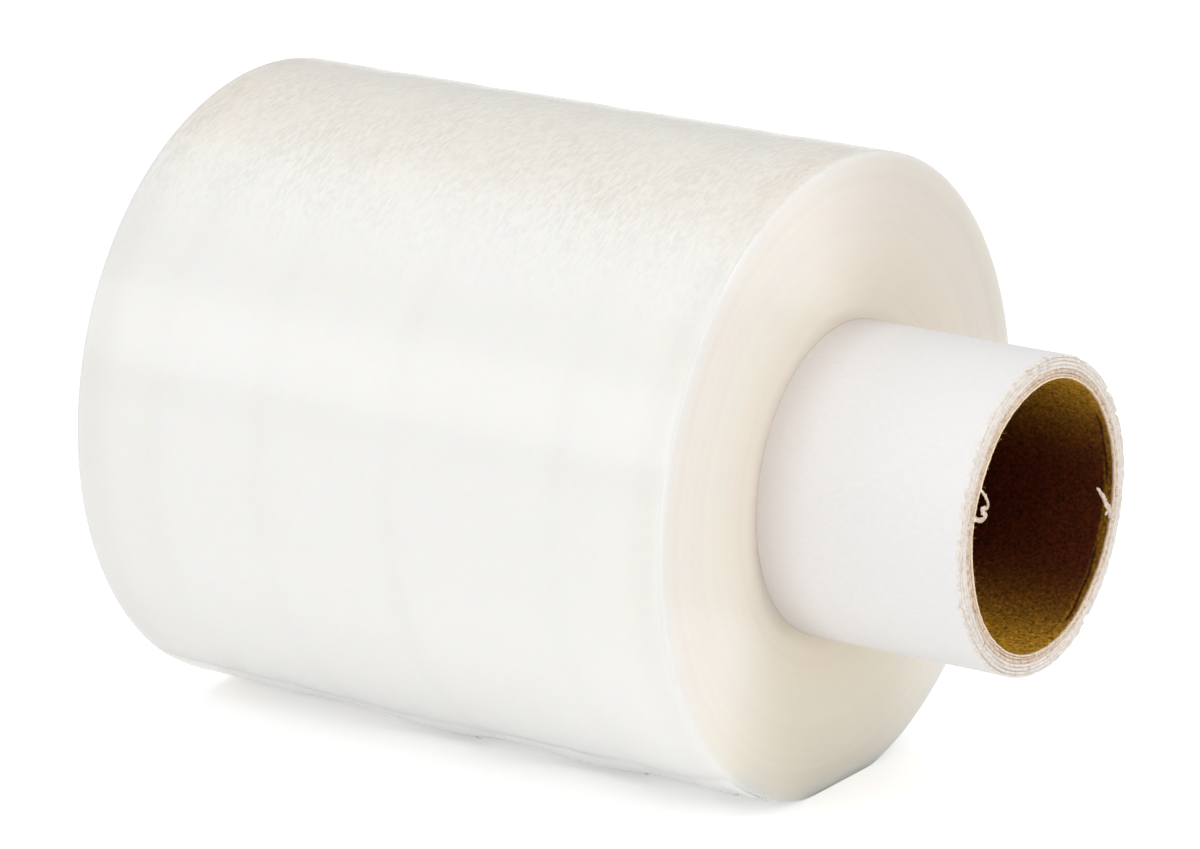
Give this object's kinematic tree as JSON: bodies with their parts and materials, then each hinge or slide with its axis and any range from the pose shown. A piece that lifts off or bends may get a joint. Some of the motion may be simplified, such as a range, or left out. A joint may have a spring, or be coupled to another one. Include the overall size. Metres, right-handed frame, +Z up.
{
  "type": "stretch wrap roll",
  "caption": "Short roll of clear stretch film wound on a paper core that stands out at one end as a grip, lying on its side.",
  "frame": {"origin": "on the surface the roll lies on, under the middle of its length and under the core's axis", "axes": "+X along the core towards the end that stands out of the film, +Z up"},
  "size_m": [0.1326, 0.0922, 0.0913],
  "materials": {
    "film": "soft gloss, milky clear",
    "kraft_board": "matt, brown",
    "white_paper": "matt, white"
  },
  "bodies": {
    "root": {"film_roll": "film", "core_tube": "kraft_board", "core_outer_paper": "white_paper"}
  },
  "joints": []
}
